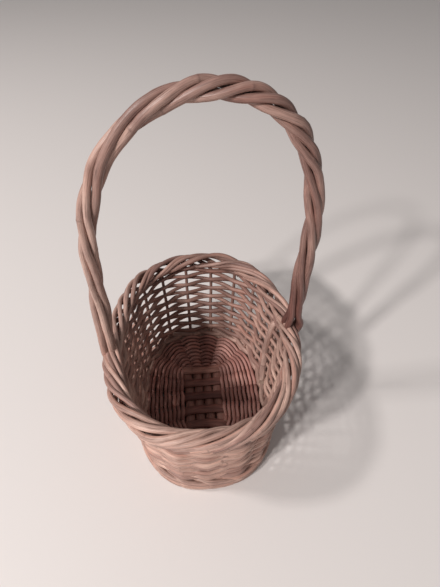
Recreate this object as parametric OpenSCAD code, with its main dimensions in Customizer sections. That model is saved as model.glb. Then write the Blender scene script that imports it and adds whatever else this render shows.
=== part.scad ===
// Oval willow basket with a fixed roped handle, woven from round rods.
// X runs across the basket in the plane of the handle, Y along it, Z up.
// The origin is at the middle of the face that it stands on.

/* [Body] */
// Width of the foot, outside the weave
foot_w = 142; // [130:1:150]
// Length of the foot, outside the weave
foot_l = 196; // [185:1:210]
// Width between the middles of the border, across the basket
rim_w = 165; // [156:1:172]
// Length between the middles of the border, along the basket
rim_l = 214; // [204:1:224]
// Height of the middle of the border above the table
rim_h = 115; // [105:1:125]
// How square the oval is at the foot, where 2 is an ellipse
foot_square = 2.5; // [2:0.1:3]
// How square the oval is at the border
rim_square = 2.2; // [2:0.1:3]

/* [Rods] */
// Diameter of the stakes
stake_d = 3.6; // [3.2:0.1:4.2]
// Diameter of the rods woven round the stakes
weaver_d = 4.2; // [3.8:0.1:4.8]
// Height of one row of the side weave
row_h = 5.75; // [5.4:0.05:6.4]
// Diameter of the rods of the border
border_d = 4; // [3.4:0.1:4]
// Diameter of the rods of the handle
handle_d = 6.2; // [5:0.1:6.4]
// Diameter of the sticks that lie along the base
long_stick_d = 6.5; // [5:0.5:6.5]
// Diameter of the split sticks that cross them
cross_stick_d = 6.6; // [6:0.2:7.4]
// Diameter of the rods woven round the base sticks
base_rod_d = 4; // [3.4:0.1:4.2]

/* [Handle] */
// Width between the middles of the handle's two legs
handle_w = 172; // [168:1:176]
// Height of the middle of the handle at its top
handle_h = 340; // [300:1:380]
// Height at which the legs start to curve over
leg_h = 218; // [190:1:240]
// How far the top leans to the right
handle_lean = 12; // [4:0.5:12]
// Number of turns of the rods round each other
rope_turns = 3.5; // [2.5:1:4.5]

/* [Hidden] */
STAKES = 21;
LONG_STICKS = 4;
CROSS_STICKS = 5;
HANDLE_RODS = 4;
FOOT_RODS = 3;
SIDE_WEAVERS = 4;
BORDER_SETS = 14;

WILLOW = [0.66, 0.53, 0.48];
DARK_WILLOW = [0.56, 0.42, 0.37];
PALE_WILLOW = [0.74, 0.62, 0.55];

gap = 0.25;
// The border overhangs the wall line a little
border_out = 1.5;

// Side wall: the stakes stand on the wall line, and the weavers pass on both sides of it
weave_out = (stake_d + weaver_d) / 2 + gap;
wall_half = weave_out + weaver_d / 2;
foot_a = foot_w / 2 - wall_half;
foot_b = foot_l / 2 - wall_half;
rim_a = rim_w / 2 - border_out;
rim_b = rim_l / 2 - border_out;
first_stake = 0.031;

// Base: the weavers pass over and under the sticks, and clear the table
base_out = (cross_stick_d + base_rod_d) / 2 + gap / 2;
base_z = base_out + base_rod_d / 2 + 1.5;
base_top = base_z + base_out + base_rod_d / 2;
stick_gap = gap + stake_d / 2;
long_pitch = 10;
cross_pitch = 17;
base_round = 4.4;

// Side weave: a spiral from the top of the base, which levels off under the border
border_r = 6.6;
row_start = base_top + weaver_d / 2 + gap;
row_top = rim_h - border_r - gap - weaver_d / 6;
rows = ceil(2 * (row_top - row_start) / row_h) / 2;

// Border: two rods from each stake roll over the ring, from low outside to low inside
BORDER_RODS = 2 * STAKES;
border_reach = 3.2;
border_from = -40;
border_roll = 256;
border_half = border_r + border_d / 2;

// Handle: the rods lie round a hollow middle, slowly on the left leg and faster at the top right
rope_r = handle_d / 2 / sin(180 / HANDLE_RODS) + gap / 2;
rope_start = 45;
fast_from = 0.4;
fast_to = 0.72;
fast_share = 0.25;
arch_a = handle_w / 2;
arch_b = handle_h - leg_h;
arch_square = 2.15;
lean_curve = 2.2;
// The rope opens between these heights, to pass the border on both sides
split_h = rim_h + 26;
spread_h = rim_h + 12;

function unit(v) = v / norm(v);
function mix(p, q, t) = p * (1 - t) + q * t;
function ease(t) = t * t * (3 - 2 * t);

// A squarish oval: its radius at a polar angle, a point on it and its outward normal there
function oval_r(t, a, b, n) = pow(pow(abs(cos(t)) / a, n) + pow(abs(sin(t)) / b, n), -1 / n);
function oval(t, a, b, n) = oval_r(t, a, b, n) * [cos(t), sin(t)];
function oval_out(t, a, b, n) =
    let (p = oval(t, a, b, n))
    unit([sign(p.x) * pow(abs(p.x) / a, n - 1) / a, sign(p.y) * pow(abs(p.y) / b, n - 1) / b]);

// The wall line at a height, as half width, half length and squareness
function wall_at(z) =
    let (t = z / rim_h)
    [mix(foot_a, rim_a, t), mix(foot_b, rim_b, t), mix(foot_square, rim_square, t)];

// The polar angle at a fraction of the way round, so that the stakes are evenly spaced
mid_wall = wall_at(rim_h / 2);
spacing_pts = [for (t = [0:2:360]) oval(t, mid_wall[0], mid_wall[1], mid_wall[2])];
spacing_run = [
    for (i = 0, run = 0; i < len(spacing_pts);
        i = i + 1, run = run + (i < len(spacing_pts) ? norm(spacing_pts[i] - spacing_pts[i - 1]) : 0))
    run
];
spacing = [for (i = [0:len(spacing_run) - 1]) [spacing_run[i] / spacing_run[len(spacing_run) - 1], 2 * i]];
function around(f) = lookup(f - floor(f), spacing);

// A point on the wall at a height, moved outwards by some distance
function wall_point(f, z, out = 0) =
    let (w = wall_at(z), t = around(f), p = oval(t, w[0], w[1], w[2]) + out * oval_out(t, w[0], w[1], w[2]))
    [p.x, p.y, z];

// A round rod swept along points, with its rings square to the path
function along(pts, i) = unit(pts[min(i + 1, len(pts) - 1)] - pts[max(i - 1, 0)]);
module rod(pts, d, up, sides = 6) {
    n = len(pts);
    ring_pts = [
        for (i = [0:n - 1])
            let (t = along(pts, i), u = unit(cross(up, t)), v = cross(t, u))
            for (k = [0:sides - 1]) pts[i] + d / 2 * (cos(360 * k / sides) * u + sin(360 * k / sides) * v)
    ];
    side_faces = [
        for (i = [0:n - 2], k = [0:sides - 1])
            let (p = i * sides + k, q = i * sides + (k + 1) % sides)
            each [[p, p + sides, q], [q, p + sides, q + sides]]
    ];
    start_face = [for (k = [0:sides - 1]) k];
    end_face = [for (k = [sides - 1:-1:0]) (n - 1) * sides + k];
    polyhedron(ring_pts, concat(side_faces, [start_face, end_face]));
}

// Sticks of the base: the split cross sticks hold the long ones in their slits
function long_x(i) = (i - (LONG_STICKS + 1) / 2) * long_pitch;
function cross_y(i) = (i - (CROSS_STICKS + 1) / 2) * cross_pitch;
function base_edge() = wall_at(base_z);
function edge_y(x) = let (w = base_edge()) w[1] * pow(1 - pow(abs(x) / w[0], w[2]), 1 / w[2]) - stick_gap;
function edge_x(y) = let (w = base_edge()) w[0] * pow(1 - pow(abs(y) / w[1], w[2]), 1 / w[2]) - stick_gap;

module long_base_stick(i) {
    reach = edge_y(long_x(i));
    color(DARK_WILLOW)
        translate([long_x(i), reach, base_z])
            rotate([90, 0, 0])
                cylinder(h = 2 * reach, d = long_stick_d, $fn = 32);
}

module cross_base_stick(i) {
    reach = edge_x(cross_y(i));
    slit_play = 1;
    lap = 2;
    slit_w = (LONG_STICKS - 1) * long_pitch + long_stick_d + slit_play;
    slit_h = long_stick_d + gap;
    swell = long_stick_d - lap;
    color(DARK_WILLOW)
        translate([0, cross_y(i), base_z])
            difference() {
                union() {
                    translate([-reach, 0, 0]) rotate([0, 90, 0]) cylinder(h = 2 * reach, d = cross_stick_d, $fn = 32);
                    translate([-slit_w / 2 - lap, 0, 0])
                        rotate([90, 0, 90])
                            linear_extrude(slit_w + 2 * lap)
                                for (side = [-1, 1])
                                    translate([0, side * swell / 2]) circle(d = cross_stick_d, $fn = 32);
                }
                cube([slit_w, cross_stick_d + slit_play, slit_h], center = true);
            }
}

// Base weave: two rods chase each other round the stick ends, one over where the other is under
function stick_ends() = concat(
    [for (i = [1:CROSS_STICKS]) ["x", 1, cross_y(i)]],
    [for (i = [LONG_STICKS:-1:1]) ["y", 1, long_x(i)]],
    [for (i = [CROSS_STICKS:-1:1]) ["x", -1, cross_y(i)]],
    [for (i = [1:LONG_STICKS]) ["y", -1, long_x(i)]]
);
function stick_angle(i, a, b, n) =
    let (s = stick_ends()[i % len(stick_ends())], turn = 360 * floor(i / len(stick_ends())))
    let (p = s[0] == "x"
        ? [s[1] * a * pow(1 - pow(abs(s[2]) / b, n), 1 / n), s[2]]
        : [s[2], s[1] * b * pow(1 - pow(abs(s[2]) / a, n), 1 / n)])
    let (t = atan2(p.y, p.x))
    turn + (i % len(stick_ends()) > CROSS_STICKS / 2 - 1 && t < 0 ? t + 360 : t);

module base_weaver(which) {
    ends = len(stick_ends());
    edge = base_edge();
    inner = [long_x(LONG_STICKS) + long_stick_d / 2, cross_y(CROSS_STICKS) + cross_stick_d / 2]
        + [1, 1] * (1 + base_rod_d / 2);
    outer = [edge[0], edge[1]] - [1, 1] * (stick_gap + base_rod_d / 2);
    rounds = floor((outer.x - inner.x) / base_round);
    steps = which == 1 ? ends * rounds : ends * (rounds + 1) - 2;
    pts = [
        for (s = [0:steps])
            let (i = floor(s / 2), half = s / 2 - i)
            let (size = mix(inner, outer, min((which - 1 + s / ends) / rounds, 1)))
            let (t = mix(stick_angle(i, size.x, size.y, edge[2]), stick_angle(i + 1, size.x, size.y, edge[2]), half))
            let (p = oval(t, size.x, size.y, edge[2]))
            let (over = half > 0 ? 0 : base_out * ((i + which) % 2 == 0 ? 1 : -1))
            [p.x, p.y, base_z + over]
    ];
    color(DARK_WILLOW) rod(pts, base_rod_d, [0, 0, 1], 5);
}

// The foot that the basket stands on: thick rods laid round the feet of the stakes
module foot_outline(w, out) {
    polygon([for (t = [0:5:355]) oval(t, w[0] + out, w[1] + out, w[2])]);
}
module foot_rod(i) {
    layer_h = (base_top - gap) / FOOT_RODS;
    bevel = 1.2;
    low = (i - 1) * layer_h;
    w = wall_at(low);
    color(WILLOW)
        for (band = [[0, layer_h, bevel], [bevel, layer_h - 2 * bevel, 0]])
            translate([0, 0, low + band[0]])
                linear_extrude(band[1])
                    difference() {
                        foot_outline(w, wall_half - band[2]);
                        foot_outline(w, stake_d / 2 + gap);
                    }
}

// Stakes lean outwards from the foot to the middle of the border
module stake(i) {
    f = first_stake + (i - 1) / STAKES;
    low = wall_point(f, 3);
    high = wall_point(f, rim_h);
    lean = high - low;
    color(PALE_WILLOW)
        translate(low)
            rotate([0, acos(lean.z / norm(lean)), atan2(lean.y, lean.x)])
                cylinder(h = norm(lean), d = stake_d, $fn = 24);
}

// Side weave: with an odd number of stakes, a rod goes in front of a stake on one round and behind
// it on the next. Each rod takes over between two stakes, where the last one ends
function first_bay(k) = round(STAKES * rows * (k - 1) / SIDE_WEAVERS);
module side_weaver(k) {
    from = 2 * first_bay(k) + 1;
    to = 2 * first_bay(k + 1) + 1;
    end_gap = 0.1;
    pts = [
        for (s = [from:to])
            let (i = floor(s / 2), on_stake = s % 2 == 0)
            let (out = on_stake ? weave_out * (i % 2 == 0 ? 1 : -1) : 0)
            let (at = s == from ? s + end_gap : s == to ? s - end_gap : s)
            let (z = min(row_start + row_h * at / (2 * STAKES), row_top))
            wall_point(first_stake + at / (2 * STAKES), z, out)
    ];
    color(WILLOW) rod(pts, weaver_d, [0, 0, 1]);
}

// The rods of the border are numbered round the ring, and each set is a few neighbours
module border_rods(k) {
    in_set = BORDER_RODS / BORDER_SETS;
    steps = 9;
    color(WILLOW)
        for (i = [(k - 1) * in_set:k * in_set - 1])
            rod([
                for (s = [0:steps])
                    let (u = s / steps, roll = border_from + border_roll * u)
                    let (f = first_stake + (i / 2 + border_reach * u) / STAKES)
                    wall_point(f, rim_h, border_out + border_r * cos(roll)) + [0, 0, border_r * sin(roll)]
            ], border_d, [0, 0, 1]);
}

// The handle's middle line: a straight leg, a squarish half oval over the top and the other leg
leg_steps = 8;
arch_steps = 44;
handle_steps = 2 * leg_steps + arch_steps;
function over_top(s) = 180 - 180 * min(max((s - leg_steps) / arch_steps, 0), 1);
function leg_drop(s) = (leg_h - split_h) * max(leg_steps - s, s - leg_steps - arch_steps, 0) / leg_steps;
function lean(z) = handle_lean * pow(max(z - rim_h, 0) / (handle_h - rim_h), lean_curve);
function spine(s) =
    let (p = oval(over_top(s), arch_a, arch_b, arch_square), z = leg_h + p.y - leg_drop(s))
    [p.x + lean(z), 0, z];
function spine_out(s) =
    let (n = oval_out(over_top(s), arch_a, arch_b, arch_square))
    [n.x, 0, n.y];

// Below the split, each end of a rod passes the border on its inside or its outside
inside_x = rim_a + border_out - border_half - handle_d / 2 - gap;
outside_x = rim_a + border_out + border_half + handle_d / 2 + gap;
long_end = base_top + 16;
short_end = rim_h - 50;
outer_end = rim_h - 12;
function inner_line(z) = min(inside_x, wall_at(z)[0] - wall_half - handle_d / 2 - gap);
function end_pts(side, turn, top, k) =
    let (inside = cos(turn) < 0, y = -sign(sin(turn)) * (handle_d + gap) / 2)
    let (low = inside ? (k % 2 == 0 ? long_end : short_end) : outer_end)
    [
        for (z = [low:handle_d * 1.4:split_h - handle_d])
            let (t = ease(min(max((z - spread_h) / (split_h - spread_h), 0), 1)))
            mix([side * (inside ? inner_line(z) : outside_x), y, z], [top.x, top.y, z], t)
    ];
function backwards(v) = [for (i = [len(v) - 1:-1:0]) v[i]];

// The rods are twisted together, two of them ending inside the basket and two outside at each foot
function twist(u) = mix(u, ease(min(max((u - fast_from) / (fast_to - fast_from), 0), 1)), fast_share);
function rope_turn(k, s) = rope_start + 360 * ((k - 1) / HANDLE_RODS - rope_turns * twist(s / handle_steps));
function rope_pt(k, s) =
    let (turn = rope_turn(k, s))
    spine(s) + rope_r * (cos(turn) * spine_out(s) - sin(turn) * [0, 1, 0]);

module handle_rod(k) {
    left = end_pts(-1, rope_turn(k, 0), rope_pt(k, 0), k);
    right = end_pts(1, rope_turn(k, handle_steps), rope_pt(k, handle_steps), k);
    color(WILLOW)
        rod(concat(left, [for (s = [0:handle_steps]) rope_pt(k, s)], backwards(right)), handle_d, [0, 1, 0], 8);
}

for (i = [1:LONG_STICKS]) long_base_stick(i);
for (i = [1:CROSS_STICKS]) cross_base_stick(i);
base_weaver(1);  // base_weaver_1
base_weaver(2);  // base_weaver_2
for (i = [1:FOOT_RODS]) foot_rod(i);
for (i = [1:STAKES]) stake(i);
for (i = [1:SIDE_WEAVERS]) side_weaver(i);
for (i = [1:BORDER_SETS]) border_rods(i);
for (i = [1:HANDLE_RODS]) handle_rod(i);
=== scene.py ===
"""Flower girl basket: each willow rod of the basket as a bent, tapering piece with knots and cut ends.

Lengths are in millimetres until a mesh is made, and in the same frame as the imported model: X across the
basket in the plane of the handle, Y along it, Z up, origin in the middle of the face that it stands on.
The table, the lights and the camera are in metres.
"""
import math

import bpy
import numpy as np
from mathutils import Matrix, Vector


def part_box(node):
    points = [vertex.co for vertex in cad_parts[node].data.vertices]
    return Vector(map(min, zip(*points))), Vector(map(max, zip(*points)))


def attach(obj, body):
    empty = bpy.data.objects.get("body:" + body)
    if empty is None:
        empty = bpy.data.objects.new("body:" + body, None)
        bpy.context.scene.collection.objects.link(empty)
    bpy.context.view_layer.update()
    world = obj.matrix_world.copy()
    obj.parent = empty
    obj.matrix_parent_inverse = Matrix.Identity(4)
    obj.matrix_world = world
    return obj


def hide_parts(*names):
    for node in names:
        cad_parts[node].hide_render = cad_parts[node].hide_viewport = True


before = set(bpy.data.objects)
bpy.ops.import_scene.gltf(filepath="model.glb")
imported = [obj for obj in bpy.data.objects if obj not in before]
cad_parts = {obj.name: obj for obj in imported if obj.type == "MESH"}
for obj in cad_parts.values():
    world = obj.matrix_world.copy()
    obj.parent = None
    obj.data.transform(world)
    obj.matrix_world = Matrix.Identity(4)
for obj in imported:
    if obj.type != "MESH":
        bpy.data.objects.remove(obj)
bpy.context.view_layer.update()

MM = 0.001
scene = bpy.context.scene

# ---------------------------------------------------------------- sizes, in millimetres
STAKES = 21
BORDER_SETS = 14
LONG_STICKS = 4
CROSS_STICKS = 5
HANDLE_RODS = 4
FOOT_RODS = 3
SIDE_WEAVERS = 4
foot_low, foot_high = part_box("foot_rod_1")
FOOT_W = (foot_high.x - foot_low.x) / MM
FOOT_L = (foot_high.y - foot_low.y) / MM
STAKE_D = 3.6
WEAVER_D = 4.2
BORDER_D = 4.0
FOOT_D = 5.6
HANDLE_D = 6.2
LONG_STICK_D = 6.5
CROSS_STICK_D = 6.6
BASE_ROD_D = 4.0
GAP = 0.25
RIM_H = 115.0
RIM_W = 165.0
RIM_L = 214.0
BORDER_OUT = 1.5
WEAVE_OUT = (STAKE_D + WEAVER_D) / 2 + GAP
WALL_HALF = WEAVE_OUT + WEAVER_D / 2
FOOT_A = FOOT_W / 2 - WALL_HALF
FOOT_B = FOOT_L / 2 - WALL_HALF
RIM_A = RIM_W / 2 - BORDER_OUT
RIM_B = RIM_L / 2 - BORDER_OUT
FOOT_SQUARE = 2.5
RIM_SQUARE = 2.2
# share of the way round at which the first stake stands
FIRST_STAKE = 0.031
BASE_LIFT = 1.5
BASE_OUT = (CROSS_STICK_D + BASE_ROD_D) / 2 + GAP / 2
BASE_Z = BASE_OUT + BASE_ROD_D / 2 + BASE_LIFT
BASE_TOP = BASE_Z + BASE_OUT + BASE_ROD_D / 2
LONG_PITCH = 10.0
CROSS_PITCH = 17.0
BORDER_R = 6.6
ROW_H = 5.75
ROW_START = BASE_TOP + WEAVER_D / 2 + GAP
# the weave is carried up under the border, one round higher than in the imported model
ROW_TOP = RIM_H - 3.5
ROWS = math.floor(2 * (ROW_TOP - ROW_START) / ROW_H) / 2 + 0.5

HANDLE_H = 340.0
LEG_H = 218.0
ARCH_A = 86.0
ARCH_B = HANDLE_H - LEG_H
ARCH_SQUARE = 2.15
HANDLE_LEAN = 12.0
LEAN_CURVE = 2.2
SPLIT_H = RIM_H + 24
ROPE_TURNS = 3.5
ROPE_START = math.radians(45)
# FAST_SHARE of the turns lies between two shares of the handle's length, and the rest is laid in evenly
FAST_FROM = 0.40
FAST_TO = 0.72
FAST_SHARE = 0.25
ROPE_R = HANDLE_D / 2 / math.sin(math.pi / HANDLE_RODS) + GAP / 2

TAU = 2 * math.pi


# ---------------------------------------------------------------- the basket's form
def mix(p, q, t):
    return p * (1 - t) + q * t


def ease(t):
    t = np.clip(t, 0, 1)
    return t * t * (3 - 2 * t)


def oval(t, a, b, n):
    """A point of a squarish oval at a polar angle."""
    r = (np.abs(np.cos(t) / a) ** n + np.abs(np.sin(t) / b) ** n) ** (-1 / n)
    return np.stack([r * np.cos(t), r * np.sin(t)], -1)


def oval_out(t, a, b, n):
    """The outward normal of that oval."""
    p = oval(t, a, b, n)
    half = np.stack([np.broadcast_to(a, p.shape[:-1]), np.broadcast_to(b, p.shape[:-1])], -1)
    n = np.broadcast_to(n, p.shape[:-1])[..., None]
    v = np.sign(p) * (np.abs(p) / half) ** (n - 1) / half
    return v / np.linalg.norm(v, axis=-1, keepdims=True)


def wall_at(z):
    t = np.asarray(z, float) / RIM_H
    return mix(FOOT_A, RIM_A, t), mix(FOOT_B, RIM_B, t), mix(FOOT_SQUARE, RIM_SQUARE, t)


def spacing_table():
    """Share of the way round, measured along the wall, against the polar angle."""
    angles = np.linspace(0, TAU, 361)
    p = oval(angles, *wall_at(RIM_H / 2))
    run = np.concatenate([[0], np.cumsum(np.linalg.norm(np.diff(p, axis=0), axis=1))])
    return run / run[-1], angles


SPACING, ANGLES = spacing_table()


def around(f):
    """Polar angle at a share of the way round, so that the stakes are evenly spaced."""
    f = np.asarray(f, float)
    return np.interp(f % 1.0, SPACING, ANGLES)


def handmade(f, z):
    """How far the real wall bulges from the true oval, in millimetres."""
    high = np.clip(np.asarray(z, float) / RIM_H, 0, 1.2) ** 1.5
    return high * (1.2 * np.cos(TAU * (2 * f - 0.3)) + 0.9 * np.cos(TAU * (3 * f + 0.2)))


def wall_point(f, z, out=0.0):
    f, z, out = np.broadcast_arrays(np.asarray(f, float), np.asarray(z, float), np.asarray(out, float))
    a, b, n = wall_at(z)
    t = around(f)
    p = oval(t, a, b, n) + (out + handmade(f, z))[..., None] * oval_out(t, a, b, n)
    return np.concatenate([p, z[..., None]], -1)


# ---------------------------------------------------------------- rods
# corners round a rod, and the distance between its rings of vertices
SIDES = 14
STEP = 1.6
KNOT_PITCH = 42.0
# uneven thickness: share of the radius, and length of the bumps
SWELL, SWELL_L = 0.025, 25
LUMPS, LUMPS_L = 0.015, 9
WANDER_L = 60
END_FADE = 12
# the rod isn't quite round, and its flats turn slowly along it
FLATTENED = 0.035
FLAT_TURN = 70
KNOT_HEIGHT = 0.10
# a slanted cut draws out the end of a rod by this many radii, over the last CUT_REACH of it
SLANTED = (1.2, 1.2)
CUT_REACH = 7.0
# keeps the fibres of two rods in one piece from being the same
GRAIN_GAP = 137.0


def smooth(line, passes):
    """The line with its corners rounded and its ends kept."""
    for _ in range(passes):
        inner = (line[:-2] + 2 * line[1:-1] + line[2:]) / 4
        line = np.concatenate([line[:1], inner, line[-1:]])
    return line


class Rod:
    """One willow rod: the line that it follows, its thickness from butt to tip, and how its ends are cut."""

    def __init__(
        self, points, butt, tip, seed, wander, cuts=(0.0, 0.0), knots=KNOT_PITCH, sides=SIDES, wide=1.0
    ):
        self.rng = np.random.default_rng(seed)
        self.sides = sides
        self.cuts = cuts
        self.wide = wide
        points = np.asarray(points, float)
        run = np.concatenate([[0], np.cumsum(np.linalg.norm(np.diff(points, axis=0), axis=1))])
        self.length = run[-1]
        count = max(int(self.length / STEP), 4) + 1
        self.s = np.linspace(0, self.length, count)
        self.p = np.stack([np.interp(self.s, run, points[:, k]) for k in range(3)], -1)
        self.p = smooth(self.p, 2)
        self.r = 0.5 * mix(butt, tip, self.s / self.length)
        self.r = self.r * (1 + SWELL * self.wave(SWELL_L) + LUMPS * self.wave(LUMPS_L))
        fade = np.minimum(self.s, self.length - self.s) / END_FADE
        drift = np.stack([self.wave(WANDER_L) for axis in range(3)], -1)
        self.p = self.p + wander * drift * np.clip(fade, 0, 1)[:, None]
        self.knots = self.knot_places(knots)
        self.tint = self.rng.random()
        # darkening along the rod: real stain on the handle, painted shade on the floor sticks and towards
        # the far end
        self.stain_and_shade = np.zeros(count)

    def wave(self, size):
        """A smooth random wave along the rod, about -1 to 1, with bumps of that size."""
        total = np.zeros_like(self.s)
        for k in range(3):
            phase = self.rng.random() * TAU
            total += np.sin(TAU * self.s / (size * (0.7 + 0.5 * k)) + phase) / 3
        return total * 1.4

    def knot_places(self, pitch):
        """Where the knots are: the place along the rod, the side that they are on, and their size."""
        places = []
        at = self.rng.random() * pitch
        while at < self.length:
            places.append((at, self.rng.random() * TAU, 0.7 + 0.6 * self.rng.random()))
            at += pitch * (0.6 + 0.8 * self.rng.random())
        return places

    def frames(self):
        """Directions across the rod, carried along it without twisting."""
        t = np.gradient(self.p, axis=0)
        t /= np.linalg.norm(t, axis=1, keepdims=True)
        u = np.empty_like(t)
        start = np.cross(t[0], [0.0, 0.0, 1.0])
        if np.linalg.norm(start) < 0.1:
            start = np.cross(t[0], [0.0, 1.0, 0.0])
        u[0] = start / np.linalg.norm(start)
        for i in range(1, len(t)):
            v = u[i - 1] - t[i] * np.dot(u[i - 1], t[i])
            u[i] = v / np.linalg.norm(v)
        return t, u, np.cross(t, u)

    def knot_relief(self, theta):
        """How far the knots stand out: a lump on one side and a faint ring all round."""
        relief = np.zeros((len(self.s), self.sides))
        for at, turn, size in self.knots:
            along = np.exp(-((self.s - at) / (1.1 * size)) ** 2)
            ring = 0.35 * np.exp(-((self.s - at) / (0.8 * size)) ** 2)
            facing = np.exp(2.2 * (np.cos(theta - turn) - 1))
            relief += along[:, None] * facing[None, :] + ring[:, None] * 0.5
        return relief

    def slants(self, theta):
        """How far each point is drawn along the rod by the slanted cuts of its ends."""
        slant = np.zeros((len(self.s), self.sides))
        for from_end, cut in zip((self.s, self.length - self.s), self.cuts):
            near = np.clip(1 - from_end / CUT_REACH, 0, 1)
            slant += cut * near[:, None] * np.cos(theta)[None, :] * self.r[:, None]
        return slant

    def build(self, grain_start):
        """Vertices, faces and the shading layers, with the ends as flat cut faces of their own."""
        n, m = len(self.s), self.sides
        t, u, v = self.frames()
        theta = np.arange(m) * TAU / m
        knot = self.knot_relief(theta)
        flat = 1 + FLATTENED * np.cos(2 * (theta[None, :] - (self.s / FLAT_TURN)[:, None]))
        radius = self.r[:, None] * flat * (1 + KNOT_HEIGHT * knot)
        across = self.wide * np.cos(theta)
        upward = np.sin(theta)
        around_rod = across[None, :, None] * u[:, None, :] + upward[None, :, None] * v[:, None, :]
        slant = self.slants(theta)[..., None] * t[:, None, :]
        co = self.p[:, None, :] + radius[..., None] * around_rod + slant
        along = np.broadcast_to((self.s + grain_start)[:, None], (n, m))
        grain = np.stack([radius * across[None, :], radius * upward[None, :], along], -1)
        verts = [co.reshape(-1, 3)]
        grains = [grain.reshape(-1, 3)]
        i, k = np.meshgrid(np.arange(n - 1), np.arange(m), indexing="ij")
        first = i * m + k
        second = i * m + (k + 1) % m
        faces = np.stack([first, second, second + m, first + m], -1).reshape(-1, 4).tolist()
        for row, start in ((0, n * m), (n - 1, n * m + 2 * m + 1)):
            rim = co[row]
            centre = rim.mean(0)
            for ring in (rim, centre + (rim - centre) * 0.5):
                verts.append(ring)
                flat_grain = [(ring - centre) @ u[row], (ring - centre) @ v[row], np.full(m, grain_start)]
                grains.append(np.stack(flat_grain, -1))
            verts.append(centre[None])
            grains.append(np.array([[0.0, 0.0, grain_start]]))
            for here in range(m):
                there = (here + 1) % m
                quad = [start + here, start + there, start + m + there, start + m + here]
                tri = [start + m + here, start + m + there, start + 2 * m]
                faces += [quad, tri] if row else [quad[::-1], tri[::-1]]
        ends = 2 * (2 * m + 1)
        layers = {
            "grain": np.concatenate(grains),
            "knot": np.concatenate([np.clip(knot, 0, 1).reshape(-1), np.zeros(ends)]),
            "cut": np.concatenate([np.zeros(n * m), np.ones(ends)]),
            # the darkening layer: real stain on the handle, painted shade on the floor sticks and towards
            # the far end
            "stain_and_shade": np.concatenate([np.repeat(self.stain_and_shade, m), np.repeat(self.stain_and_shade[[0, -1]], 2 * m + 1)]),
            "tint": np.full(n * m + ends, self.tint),
        }
        return np.concatenate(verts), faces, layers


def rods_piece(name, rods, slot, replaces):
    """One object of one or more rods, riding on the basket's body and standing for its CAD node."""
    verts, faces, layers = [], [], []
    base = 0
    grain_start = 0.0
    for rod in rods:
        co, rod_faces, rod_layers = rod.build(grain_start)
        verts.append(co)
        faces.extend([[index + base for index in face] for face in rod_faces])
        layers.append(rod_layers)
        base += len(co)
        grain_start += rod.length + GRAIN_GAP
    mesh = bpy.data.meshes.new(name)
    mesh.from_pydata((np.concatenate(verts) * MM).tolist(), [], faces)
    mesh.polygons.foreach_set("use_smooth", np.ones(len(mesh.polygons), bool))
    for label in layers[0]:
        kind, key = ("FLOAT_VECTOR", "vector") if label == "grain" else ("FLOAT", "value")
        values = np.concatenate([rod_layers[label] for rod_layers in layers])
        layer = mesh.attributes.new(label, kind, "POINT")
        layer.data.foreach_set(key, values.ravel().astype(np.float32))
    mesh.update()
    piece = bpy.data.objects.new(name, mesh)
    scene.collection.objects.link(piece)
    mesh.materials.append(MATERIALS[slot])
    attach(piece, "root")
    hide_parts(*replaces)


# ---------------------------------------------------------------- willow
PALE = (0.535, 0.372, 0.315)
MID = (0.425, 0.283, 0.238)
DARK = (0.255, 0.153, 0.132)
CUT = (0.46, 0.335, 0.265)
# colour multiplied in by the darkening layer: real stain on the handle, painted shade elsewhere
STAIN_AND_SHADE_COLOUR = (0.40, 0.28, 0.28)
# a redder willow than the middle shade, and knots darker than the dark one, as factors
REDDER = (1.12, 0.82, 0.74)
KNOT_DARK = 0.55
FIBRE_SHADES = [(0.34, (0.5, 0.46, 0.44)), (0.47, (0.9, 0.89, 0.88)), (0.66, (1.22, 1.2, 1.18))]
FINE_SHADES = [(0.35, (0.78, 0.76, 0.75)), (0.6, (1.05, 1.05, 1.05))]
SPECULAR = 0.42
BUMP_STRENGTH = 0.55
BUMP_DEPTH = 0.00022


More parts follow.
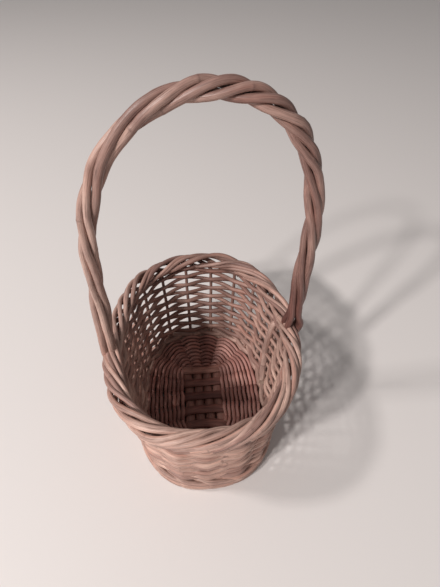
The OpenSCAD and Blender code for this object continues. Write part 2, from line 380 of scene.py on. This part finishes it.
def willow(name, shade, rough):
    """Peeled and stained willow: long fibres, blotches along each rod, darker knots, pale cut ends, and a
    darkening layer that is stain on the handle and painted shade elsewhere.
    """
    pale, mid, dark = (tuple(k * c for k, c in zip(shade, colour)) for colour in (PALE, MID, DARK))
    mat = bpy.data.materials.new(name)
    mat.use_nodes = True
    nt = mat.node_tree
    nodes, links = nt.nodes, nt.links
    nodes.clear()
    out = nodes.new("ShaderNodeOutputMaterial")
    bsdf = nodes.new("ShaderNodeBsdfPrincipled")
    links.new(bsdf.outputs[0], out.inputs[0])
    bsdf.inputs["Specular IOR Level"].default_value = SPECULAR

    def attribute(label, output):
        node = nodes.new("ShaderNodeAttribute")
        node.attribute_name = label
        return node.outputs[output]

    def noise(vector, scale, detail, rough_share=0.55):
        stretch = nodes.new("ShaderNodeVectorMath")
        stretch.operation = "MULTIPLY"
        stretch.inputs[1].default_value = scale
        links.new(vector, stretch.inputs[0])
        node = nodes.new("ShaderNodeTexNoise")
        node.inputs["Scale"].default_value = 1.0
        node.inputs["Detail"].default_value = detail
        node.inputs["Roughness"].default_value = rough_share
        links.new(stretch.outputs[0], node.inputs["Vector"])
        return node.outputs["Fac"]

    def ramp(fac, stops):
        node = nodes.new("ShaderNodeValToRGB")
        elements = node.color_ramp.elements
        while len(elements) > 1:
            elements.remove(elements[-1])
        elements[0].position, elements[0].color = stops[0][0], (*stops[0][1], 1)
        for place, colour in stops[1:]:
            elements.new(place).color = (*colour, 1)
        links.new(fac, node.inputs[0])
        return node.outputs[0]

    def blend(kind, fac, a, b):
        node = nodes.new("ShaderNodeMix")
        node.data_type = "RGBA"
        node.blend_type = kind
        if isinstance(fac, (int, float)):
            node.inputs[0].default_value = fac
        else:
            links.new(fac, node.inputs[0])
        for socket, value in ((node.inputs[6], a), (node.inputs[7], b)):
            if isinstance(value, tuple):
                socket.default_value = (*value, 1)
            else:
                links.new(value, socket)
        return node.outputs[2]

    def scaled(value, low, high, to_low, to_high):
        node = nodes.new("ShaderNodeMapRange")
        node.inputs[1].default_value = low
        node.inputs[2].default_value = high
        node.inputs[3].default_value = to_low
        node.inputs[4].default_value = to_high
        links.new(value, node.inputs[0])
        return node.outputs[0]

    grain = attribute("grain", "Vector")
    tint = attribute("tint", "Fac")
    fibres = noise(grain, (1.9, 1.9, 0.05), 5.0, 0.6)
    fine = noise(grain, (5.5, 5.5, 0.16), 3.0)
    blotch = noise(grain, (0.10, 0.10, 0.035), 3.0)
    red = noise(grain, (0.22, 0.22, 0.018), 2.0)

    redder = tuple(c * k for c, k in zip(mid, REDDER))
    knot_dark = tuple(c * KNOT_DARK for c in dark)
    base = ramp(tint, [(0.0, dark), (0.35, mid), (0.7, pale), (1.0, mid)])
    base = blend("MIX", scaled(blotch, 0.42, 0.66, 0.0, 0.75), base, dark)
    base = blend("MIX", scaled(red, 0.5, 0.72, 0.0, 0.45), base, redder)
    base = blend("MULTIPLY", 1.0, base, ramp(fibres, FIBRE_SHADES))
    base = blend("MULTIPLY", 0.5, base, ramp(fine, FINE_SHADES))
    base = blend("MIX", scaled(attribute("knot", "Fac"), 0.3, 0.95, 0.0, 0.55), base, knot_dark)
    base = blend("MIX", scaled(attribute("cut", "Fac"), 0.0, 1.0, 0.0, 0.7), base, CUT)
    # darkening: real stain on the handle, painted shade on the floor sticks and towards the far end
    base = blend("MULTIPLY", attribute("stain_and_shade", "Fac"), base, STAIN_AND_SHADE_COLOUR)
    links.new(base, bsdf.inputs["Base Color"])
    links.new(scaled(fibres, 0.3, 0.7, rough + 0.12, rough - 0.06), bsdf.inputs["Roughness"])

    bump = nodes.new("ShaderNodeBump")
    bump.inputs["Strength"].default_value = BUMP_STRENGTH
    bump.inputs["Distance"].default_value = BUMP_DEPTH
    links.new(fibres, bump.inputs["Height"])
    links.new(bump.outputs[0], bsdf.inputs["Normal"])
    return mat


MATERIALS = {
    "base_stick": willow("base_stick", (0.95, 0.74, 0.7), 0.55),
    # the floor's willow is tinted redder, with less green and blue: painted light bounced round inside the
    # basket
    "base_willow": willow("base_willow", (1.1, 0.87, 0.88), 0.52),
    "side_willow": willow("side_willow", (1.17, 1.14, 1.12), 0.50),
    "stake_willow": willow("stake_willow", (1.0, 1.0, 1.0), 0.50),
    "border_willow": willow("border_willow", (1.16, 1.15, 1.14), 0.48),
    "handle_willow": willow("handle_willow", (1.06, 1.06, 1.06), 0.38),
}


# ---------------------------------------------------------------- base
def long_x(i):
    return (i - (LONG_STICKS + 1) / 2) * LONG_PITCH


def cross_y(i):
    return (i - (CROSS_STICKS + 1) / 2) * CROSS_PITCH


BASE_WALL = wall_at(BASE_Z)
STICK_STOP = GAP + STAKE_D / 2
# how far the ends of the sticks fan out, against their places in the middle
CROSS_FAN = 1.35
LONG_FAN = 2.4
FAN_FROM = 2
BEND_PASSES = 30
LONG_WIDE = 1.62
# how much the long sticks are darkened: painted shade, as they lie under the cross sticks
LONG_PAINTED_SHADE = 0.4
# each half of a split stick is a flat strip, and the halves open round the long sticks
HALF_SHARE = 0.46
HALF_WIDE = 3.3
HALF_SHUT = 0.8
HALF_OPEN = 4.2
OPENING_L = 6
# how much the cross sticks are darkened, all but the far one: painted shade on the floor of the basket
CROSS_PAINTED_SHADE = 0.8


def stick_ends():
    """Each stick end: where it leaves the middle, and where it meets the wall, fanned out a little."""
    a, b, n = BASE_WALL
    a, b = a - STICK_STOP, b - STICK_STOP
    ends = []
    inner_x = long_x(LONG_STICKS) + LONG_STICK_D / 2 + FAN_FROM
    inner_y = cross_y(CROSS_STICKS) + CROSS_STICK_D / 2 + FAN_FROM
    order = [("x", 1, cross_y(i)) for i in range(1, CROSS_STICKS + 1)]
    order += [("y", 1, long_x(i)) for i in range(LONG_STICKS, 0, -1)]
    order += [("x", -1, cross_y(i)) for i in range(CROSS_STICKS, 0, -1)]
    order += [("y", -1, long_x(i)) for i in range(1, LONG_STICKS + 1)]
    for axis, side, place in order:
        if axis == "x":
            spread = place * CROSS_FAN
            inner = np.array([side * inner_x, place])
            outer = np.array([side * a * (1 - (abs(spread) / b) ** n) ** (1 / n), spread])
        else:
            spread = place * LONG_FAN
            inner = np.array([place, side * inner_y])
            outer = np.array([spread, side * b * (1 - (abs(spread) / a) ** n) ** (1 / n)])
        ends.append((inner, outer))
    return ends


ENDS = stick_ends()


def end_point(i, q):
    inner, outer = ENDS[i % len(ENDS)]
    return mix(inner, outer, q)


def stick_path(first, second):
    """A stick through the middle between two opposite ends."""
    points = [np.append(place, BASE_Z) for place in (first[1], first[0], second[0], second[1])]
    path = []
    for p, q in zip(points, points[1:]):
        path += [mix(p, q, t) for t in np.linspace(0, 1, 12, endpoint=False)]
    return smooth(np.array(path + [points[-1]]), BEND_PASSES)


def base_sticks():
    for i in range(1, LONG_STICKS + 1):
        up = ENDS[CROSS_STICKS + LONG_STICKS - i]
        down = ENDS[2 * CROSS_STICKS + LONG_STICKS + i - 1]
        path = stick_path(down, up)
        rod = Rod(path, LONG_STICK_D, LONG_STICK_D * 0.95, seed=100 + i, wander=0.3, wide=LONG_WIDE)
        # painted shade under the cross sticks
        rod.stain_and_shade += LONG_PAINTED_SHADE
        rods_piece(f"Willow_long_base_stick_{i}", [rod], "base_stick", [f"long_base_stick_{i}"])
    for i in range(1, CROSS_STICKS + 1):
        right = ENDS[i - 1]
        left = ENDS[CROSS_STICKS + LONG_STICKS + CROSS_STICKS - i]
        rods = []
        path = stick_path(left, right)
        half = (LONG_STICKS - 1) * LONG_PITCH / 2 + LONG_STICK_D / 2 + 1
        opened = ease((half + OPENING_L - np.abs(path[:, 0])) / OPENING_L)
        for side in (-1, 1):
            split = path.copy()
            split[:, 2] += side * mix(HALF_SHUT, HALF_OPEN, opened)
            thick = CROSS_STICK_D * HALF_SHARE
            strip = Rod(split, thick, thick, seed=120 + i, wander=0.2, wide=HALF_WIDE)
            # the stick at the far end gets no painted shade
            strip.stain_and_shade += 0.0 if i == CROSS_STICKS else CROSS_PAINTED_SHADE
            rods.append(strip)
        rods_piece(f"Willow_cross_base_stick_{i}", rods, "base_stick", [f"cross_base_stick_{i}"])


BASE_ROUNDS = 9
# share of the way out to the wall at which the weave of the floor ends
BASE_REACH = 0.955
POINTS_A_STICK = 14
# how far a rod bows outwards between two sticks, and how deep it is pressed on to them
BOW = 0.55
PRESSED = 0.4


def base_weavers():
    """Two rods chase each other round the stick ends, one over where the other is under."""
    ends = len(ENDS)
    for which in (1, 2):
        total = ends * BASE_ROUNDS
        s = np.linspace(0, total, total * POINTS_A_STICK)
        i = np.floor(s).astype(int)
        t = s - i
        q = s / total * BASE_REACH
        here = np.array([end_point(a, b) for a, b in zip(i, q)])
        there = np.array([end_point(a + 1, b) for a, b in zip(i, q)])
        chord = there - here
        bow = np.stack([chord[:, 1], -chord[:, 0]], -1)
        p = mix(here, there, t[:, None]) + bow * (0.5 * t * (1 - t) * BOW)[:, None]
        sign = 1 if which == 1 else -1
        z = BASE_Z + sign * (BASE_OUT - PRESSED) * np.cos(np.pi * s)
        points = np.column_stack([p, z])
        rod = Rod(points, BASE_ROD_D * 0.97, BASE_ROD_D * 0.9, seed=140 + which, wander=0.35)
        rods_piece(f"Willow_base_weaver_{which}", [rod], "base_willow", [f"base_weaver_{which}"])


# ---------------------------------------------------------------- foot
FOOT_LEVELS = 3
FOOT_LAP = 1.02
# how far a rod stands out from the stakes at most, as a share of WEAVE_OUT, and its rise and fall
FOOT_SWING_MAX = 0.9
FOOT_RIPPLE = 0.9
# thickest part of a rod, against its radius
WIDEST = 1.16


def foot_rods():
    """Three rods waled round the stakes: each passes outside two of them and inside one."""
    height = BASE_TOP - GAP
    rise = height / FOOT_LEVELS
    for k in range(1, FOOT_RODS + 1):
        rods = []
        for level in range(FOOT_LEVELS):
            f = FIRST_STAKE + np.linspace(0, FOOT_LAP, 700) + k / STAKES
            phase = TAU * ((f - FIRST_STAKE) * STAKES / 3 - k / 3) - math.pi / 3
            swing = np.minimum(1.1 * (np.cos(phase) + 0.25), FOOT_SWING_MAX)
            z = rise * (level + 0.5) - FOOT_RIPPLE * np.sin(phase)
            points = wall_point(f, z, WEAVE_OUT * swing)
            rod = Rod(points, FOOT_D + 0.2, FOOT_D - 0.3, seed=160 + 10 * level + k, wander=0.2)
            # nothing reaches below the table
            rod.p[:, 2] = np.maximum(rod.p[:, 2], WIDEST * rod.r)
            rods.append(rod)
        rods_piece(f"Willow_foot_rod_{k}", rods, "side_willow", [f"foot_rod_{k}"])


# ---------------------------------------------------------------- side
def far_painted_shade(points):
    """The rods of the far end are painted darker than those of the near one: painted shade."""
    return 0.4 * ease(points[:, 1] / RIM_B + 0.15)


def packed(points):
    """How much tighter the weave is packed, at the near end and on the left."""
    return np.clip((20 - points[:, 1]) / 40, 0, 1) * np.clip((60 - points[:, 0]) / 40, 0, 1)


def stakes():
    for i in range(1, STAKES + 1):
        f = FIRST_STAKE + (i - 1) / STAKES
        z = np.linspace(3, RIM_H - 2, 40)
        rod = Rod(wall_point(f, z), STAKE_D + 0.2, STAKE_D - 0.2, seed=200 + i, wander=0.3)
        # painted shade, darker towards the far end
        rod.stain_and_shade += far_painted_shade(rod.p)
        rods_piece(f"Willow_stake_{i}", [rod], "stake_willow", [f"stake_{i}"])


RODS_IN_WEAVER = 4
# 1 would be a rod that runs dead straight between two stakes, and bends sharply over each
WEAVE_BEND = 0.97
END_PAST_STAKE = 0.55
# how far the rods swing out and in, and how much less where they are packed tighter
SWING = 0.78
SWING_LOSS = 0.22
UNEVEN_OUT = 0.14
UNEVEN_Z = 0.5
# how much thicker or thinner the rods are in parts of the side
NEAR_THICKER = 0.26
LEFT_THICKER = 0.12
FAR_RIGHT_THICKER = 0.16
RIGHT_THINNER = 0.12


def first_bay(k):
    """The gap between stakes in which length k of the side weave begins, counted from the first stake."""
    return math.floor(STAKES * ROWS * (k - 1) / SIDE_WEAVERS + 0.5)


def thickness(points):
    """The thickness of the rods of the weave against their usual one, in each part of the side."""
    x, y = points[:, 0], points[:, 1]
    near = packed(points)
    left = np.clip(-x / 60, 0, 1) * near
    far_right = np.clip((y - 20) / 40, 0, 1) * np.clip(x / 30, 0, 1)
    right = np.clip((x - 50) / 20, 0, 1) * np.clip((50 - y) / 30, 0, 1)
    thicker = 1 + NEAR_THICKER * near + LEFT_THICKER * left + FAR_RIGHT_THICKER * far_right
    return thicker - RIGHT_THINNER * right


def side_weavers():
    """Randing: each rod goes in front of one stake and behind the next, and a new one takes over inside."""
    rng = np.random.default_rng(31)
    sway = rng.normal(0, 1, (math.ceil(ROWS) + 2) * STAKES)
    places = np.arange(len(sway))
    for k in range(1, SIDE_WEAVERS + 1):
        start, stop = first_bay(k) + 0.5, first_bay(k + 1) + 0.5
        rods = []
        for j in range(RODS_IN_WEAVER):
            low = mix(start, stop, j / RODS_IN_WEAVER)
            high = mix(start, stop, (j + 1) / RODS_IN_WEAVER)
            # both ends stop behind a stake on the inside
            low = 2 * math.floor(low / 2) + 1 - END_PAST_STAKE
            high = 2 * math.floor(high / 2) + 1 + END_PAST_STAKE
            s = np.arange(low, high, 0.04)
            # drawn tight, the rod runs straight from stake to stake and bends over each one
            tight = np.arcsin(WEAVE_BEND * np.cos(np.pi * s)) / math.asin(WEAVE_BEND)
            uneven = 1 + UNEVEN_OUT * np.interp(s, places, sway)
            f = FIRST_STAKE + s / STAKES
            swing = SWING - SWING_LOSS * packed(wall_point(f, RIM_H / 2))
            out = WEAVE_OUT * swing * tight * uneven
            z = np.minimum(ROW_START + ROW_H * s / STAKES, ROW_TOP)
            z = z + UNEVEN_Z * np.interp(s + 7.5, places, sway)
            rise = 0.5 * np.interp(s, [low, low + 1.5, high - 1.5, high], [1, 0, 0, -1])
            points = wall_point(f, z + rise, out)
            seed = 300 + 10 * k + j
            rod = Rod(points, WEAVER_D + 0.5, WEAVER_D - 0.4, seed=seed, wander=0.3, cuts=SLANTED)
            rod.r *= thickness(rod.p)
            # painted shade, darker towards the far end
            rod.stain_and_shade += far_painted_shade(rod.p)
            rods.append(rod)
        rods_piece(f"Willow_side_weaver_{k}", rods, "side_willow", [f"side_weaver_{k}"])


# ---------------------------------------------------------------- border
# how many stakes a rod passes on its way over, and the part of the turn that it makes round the border
BORDER_REACH = 3.5
BORDER_FROM = math.radians(-48)
BORDER_ROLL = math.radians(262)
BORDER_RODS = 2 * STAKES
# how much the rods differ from one another
REACH_PLAY = 0.3
START_PLAY = 0.12
ROLL_PLAY = 0.05
TURN_PLAY = math.radians(4)
RADIUS_PLAY = 0.65
# each rod leaves the side lower down than the roll starts
RISE_FROM = 6.5
RISE_INWARDS = 0.8
RISE_SHARE = 0.2


def border_rod(i, rng):
    """A rod that comes up outside its stake, lies slanting over the top and is tucked down inside."""
    u = np.linspace(0, 1, 90)
    reach = BORDER_REACH + rng.uniform(-REACH_PLAY, REACH_PLAY)
    start = rng.uniform(-START_PLAY, START_PLAY)
    rolled = u + rng.uniform(-ROLL_PLAY, ROLL_PLAY) * np.sin(TAU * u)
    roll = BORDER_FROM + BORDER_ROLL * rolled + TURN_PLAY * rng.normal()
    # both ends lie deeper than the middle, under the rods on either side
    middle = np.sin(np.pi * u)
    radius = BORDER_R * (0.80 + 0.26 * middle**0.8) + RADIUS_PLAY * rng.normal() * middle
    f = FIRST_STAKE + (i / 2 + start + reach * u) / STAKES
    rising = np.clip(1 - u / RISE_SHARE, 0, 1) ** 1.5
    out = BORDER_OUT + radius * np.cos(roll) - RISE_INWARDS * rising
    points = wall_point(f, RIM_H, out)
    points[:, 2] += radius * np.sin(roll) - RISE_FROM * rising
    thick = BORDER_D + rng.uniform(0.5, 1.6)
    rod = Rod(points, thick, thick - 0.9, seed=400 + i, wander=0.5, cuts=SLANTED)
    # painted shade, darker towards the far end
    rod.stain_and_shade += far_painted_shade(rod.p)
    return rod


def border_rods():
    rng = np.random.default_rng(17)
    rods = [border_rod(i, rng) for i in range(BORDER_RODS)]
    in_set = BORDER_RODS // BORDER_SETS
    for k in range(1, BORDER_SETS + 1):
        mine = rods[(k - 1) * in_set : k * in_set]
        rods_piece(f"Willow_border_rods_{k}", mine, "border_willow", [f"border_rods_{k}"])


# ---------------------------------------------------------------- handle
# the shares of the handle's length that are leg and arch, in parts
LEG_PARTS = 8
ARCH_PARTS = 44
# the left leg comes towards the near end of the basket over its lowest part
LEFT_BEND = (0.8, -13.0, 0.0)
LEFT_BEND_H = 66.0
HANDLE_TINTS = (0.2, 0.65, 0.35, 0.75)
# the stain deepens from the left leg to the right one: shares of the handle's length, and the stain there
STAIN_AT = (0.1, 0.5, 0.82, 0.92, 0.97)
STAIN_DEPTH = (0.0, 0.45, 0.58, 0.82, 1.0)


def arch_point(u):
    """The handle's middle line at a share of its length, and its outward direction there."""
    s = np.asarray(u, float) * (2 * LEG_PARTS + ARCH_PARTS)
    t = math.pi * (1 - np.clip((s - LEG_PARTS) / ARCH_PARTS, 0, 1))
    below_arch = np.maximum(np.maximum(LEG_PARTS - s, s - LEG_PARTS - ARCH_PARTS), 0)
    drop = (LEG_H - SPLIT_H) * below_arch / LEG_PARTS
    p = oval(t, ARCH_A, ARCH_B, ARCH_SQUARE)
    n = oval_out(t, ARCH_A, ARCH_B, ARCH_SQUARE)
    z = LEG_H + p[..., 1] - drop
    x = p[..., 0] + HANDLE_LEAN * (np.maximum(z - RIM_H, 0) / (HANDLE_H - RIM_H)) ** LEAN_CURVE
    zero = np.zeros_like(x)
    return np.stack([x, zero, z], -1), np.stack([n[..., 0], zero, n[..., 1]], -1)


def twist(u):
    """Share of the twist laid in at a share of the handle's length: tighter over the top."""
    return mix(u, ease((u - FAST_FROM) / (FAST_TO - FAST_FROM)), FAST_SHARE)


def rope_point(k, u):
    turn = ROPE_START + TAU * ((k - 1) / HANDLE_RODS - ROPE_TURNS * twist(u))
    spine, out = arch_point(u)
    y = np.array([0.0, 1.0, 0.0])
    return spine + ROPE_R * (np.cos(turn)[..., None] * out - np.sin(turn)[..., None] * y), turn


def left_end(top):
    """The left foot stays roped, and is pushed down through the outer half of the border."""
    z = np.linspace(RIM_H - 16, SPLIT_H - 3, 60)
    inwards = 4.0 * ease((RIM_H + 6 - z) / 20)
    return np.stack([top[0] + inwards, np.full_like(z, top[1]), z], -1)


def bend_left_leg(points):
    """The left leg bends gently towards the near end on its way down to the border."""
    bent = (1 - ease((points[:, 2] - RIM_H - 2) / LEFT_BEND_H)) * (points[:, 0] < 0)
    return points + bent[:, None] * np.array(LEFT_BEND)


def right_end(turn, top, k):
    """At the right foot two rods end in the border's outer half and two go down inside, one much further."""
    y = -math.copysign(1, math.sin(turn)) * (HANDLE_D + GAP) / 2
    middle = RIM_A + BORDER_OUT
    if math.cos(turn) >= 0:
        z = np.linspace(RIM_H - 5, SPLIT_H - 4, 60)
        x = middle + np.interp(z, [RIM_H - 5, RIM_H + 4, RIM_H + 14], [5.5, 8.5, 12.0])
    elif k % 2:
        z = np.linspace(RIM_H - 18, SPLIT_H - 4, 40)
        x = middle + np.interp(z, [RIM_H - 18, RIM_H, RIM_H + 10], [-3.0, 0.0, -4.0])
    else:
        # the long one turns aside within the border, and lies beside the first stake inside the weave
        z = np.linspace(27, SPLIT_H - 4, 160)
        y = np.interp(z, [27, 45, 62, RIM_H - 5, RIM_H + 4], [2.0, 12.0, 18.5, 19.5, y])
        a, b, n = wall_at(z)
        inside = a * (1 - (np.abs(y) / b) ** n) ** (1 / n) - 5.0
        x = np.interp(z, [RIM_H - 14, RIM_H - 5, RIM_H + 3, RIM_H + 10], [0.0, 1.0, 0.9, 0.55])
        x = mix(inside, middle, x)
    t = ease((z - RIM_H - 5) / (SPLIT_H - RIM_H - 5))
    return np.stack([mix(x, top[0], t), mix(y, top[1], t), z], -1)


def path_length(points):
    return np.linalg.norm(np.diff(points, axis=0), axis=1).sum()


def handle_rods():
    rng = np.random.default_rng(5)
    for k in range(1, HANDLE_RODS + 1):
        u = np.linspace(0, 1, 400)
        rope, turn = rope_point(k, u)
        left = left_end(rope[0])
        right = right_end(turn[-1], rope[-1], k)[::-1]
        points = bend_left_leg(np.concatenate([left, rope, right]))
        thick = HANDLE_D + rng.uniform(0.1, 0.7)
        butt, tip = (thick, thick - 1.0) if k % 2 else (thick - 1.0, thick)
        rod = Rod(points, butt, tip, seed=500 + k, wander=0.6, cuts=SLANTED, knots=60, sides=18)
        rod.tint = HANDLE_TINTS[k - 1]
        left_l, right_l = path_length(left), path_length(right)
        share = (rod.s - left_l) / (rod.length - left_l - right_l)
        rod.stain_and_shade = np.interp(share, STAIN_AT, STAIN_DEPTH)
        rod.stain_and_shade *= ease((rod.p[:, 2] - RIM_H) / 6)
        rods_piece(f"Willow_handle_rod_{k}", [rod], "handle_willow", [f"handle_rod_{k}"])


# ---------------------------------------------------------------- stage, light, camera
TABLE_HALF = 4.0
TABLE_WHITE = (0.74, 0.705, 0.69, 1)
WARM = (1.0, 0.955, 0.93)
ROOM = (0.80, 0.77, 0.76, 1)
ROOM_STRENGTH = 0.29
# the camera stands above the near end, looks down by CAMERA_DOWN and is turned a little and tilted a little
CAMERA_AT = (0.0167, -0.2716, 0.4356)
CAMERA_DOWN = math.radians(44.27)
CAMERA_TURN = math.radians(-6.0)
CAMERA_ROLL = math.radians(0.46)
CAMERA_LENS = 27.09
CAMERA_SENSOR = 36


def table_top():
    mesh = bpy.data.meshes.new("Table")
    corners = [(x * TABLE_HALF, y * TABLE_HALF, 0) for x, y in ((-1, -1), (1, -1), (1, 1), (-1, 1))]
    mesh.from_pydata(corners, [], [(0, 1, 2, 3)])
    table = bpy.data.objects.new("Table", mesh)
    scene.collection.objects.link(table)
    mat = bpy.data.materials.new("Table_white")
    mat.use_nodes = True
    bsdf = mat.node_tree.nodes["Principled BSDF"]
    bsdf.inputs["Base Color"].default_value = TABLE_WHITE
    bsdf.inputs["Roughness"].default_value = 0.5
    mesh.materials.append(mat)


def softbox(name, azimuth, elevation, distance, size, power, colour):
    """A square lamp that looks at the basket from an azimuth round it and an elevation above the table."""
    light = bpy.data.lights.new(name, "AREA")
    light.size = size
    light.energy = power
    light.color = colour
    lamp = bpy.data.objects.new(name, light)
    a, e = math.radians(azimuth), math.radians(elevation)
    towards = Vector((math.cos(a) * math.cos(e), math.sin(a) * math.cos(e), math.sin(e)))
    lamp.location = Vector((0, 0, 0.1)) + towards * distance
    lamp.rotation_mode = "QUATERNION"
    lamp.rotation_quaternion = (-towards).to_track_quat("-Z", "Y")
    scene.collection.objects.link(lamp)


def lights():
    softbox("Key", 217, 39, 3.0, 0.20, 44, WARM)
    softbox("Second", 227, 38, 3.0, 0.20, 32, WARM)
    softbox("Left", 181, 51, 2.5, 0.25, 20, WARM)
    world = bpy.data.worlds.new("Room")
    world.use_nodes = True
    world.node_tree.nodes["Background"].inputs[0].default_value = ROOM
    world.node_tree.nodes["Background"].inputs[1].default_value = ROOM_STRENGTH
    scene.world = world
    scene.view_settings.view_transform = "Standard"


def camera():
    """Above the near end of the basket and looking down at it, as a person standing at the table does."""
    spin = Matrix.Rotation(CAMERA_TURN, 3, "Z")
    forward = spin @ Vector((0, math.cos(CAMERA_DOWN), -math.sin(CAMERA_DOWN)))
    level_up = spin @ Vector((0, math.sin(CAMERA_DOWN), math.cos(CAMERA_DOWN)))
    level_right = spin @ Vector((1, 0, 0))
    right = math.cos(CAMERA_ROLL) * level_right + math.sin(CAMERA_ROLL) * level_up
    up = -math.sin(CAMERA_ROLL) * level_right + math.cos(CAMERA_ROLL) * level_up
    data = bpy.data.cameras.new("Camera")
    data.sensor_width = CAMERA_SENSOR
    data.lens = CAMERA_LENS
    data.clip_start = 0.01
    cam = bpy.data.objects.new("Camera", data)
    place = spin @ Vector(CAMERA_AT)
    cam.matrix_world = Matrix.Translation(place) @ Matrix((right, up, -forward)).transposed().to_4x4()
    scene.collection.objects.link(cam)
    scene.camera = cam


camera()
lights()
table_top()
base_sticks()
base_weavers()
foot_rods()
stakes()
side_weavers()
border_rods()
handle_rods()
